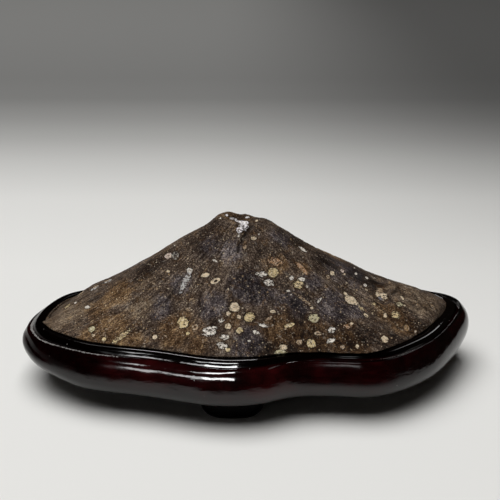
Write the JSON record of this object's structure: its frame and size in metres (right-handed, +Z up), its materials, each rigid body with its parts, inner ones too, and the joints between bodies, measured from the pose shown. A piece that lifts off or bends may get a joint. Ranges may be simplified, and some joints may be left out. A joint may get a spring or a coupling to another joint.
{
  "type": "scholars rock on wooden stand",
  "caption": "Mountain-shaped viewing stone with a small summit crater, seated in a recessed oval lacquered wooden stand on low rounded feet.",
  "frame": {"origin": "middle of the stand's footprint, on the surface that the feet stand on", "axes": "+Z up, +X along the stand's long axis, -Y towards the front of the stone"},
  "size_m": [0.2371, 0.1243, 0.0866],
  "materials": {
    "stone": "waxed natural stone, dark grey-brown with blue-grey and rust zones and cream spots",
    "stand_lacquer": "glossy oxblood lacquer over carved hardwood",
    "foot_lacquer": "near-black lacquered hardwood"
  },
  "bodies": {
    "root": {"stone": "stone", "stand": "stand_lacquer", "foot_front": "foot_lacquer", "foot_left": "foot_lacquer", "foot_right": "foot_lacquer", "foot_back": "foot_lacquer"}
  },
  "joints": []
}
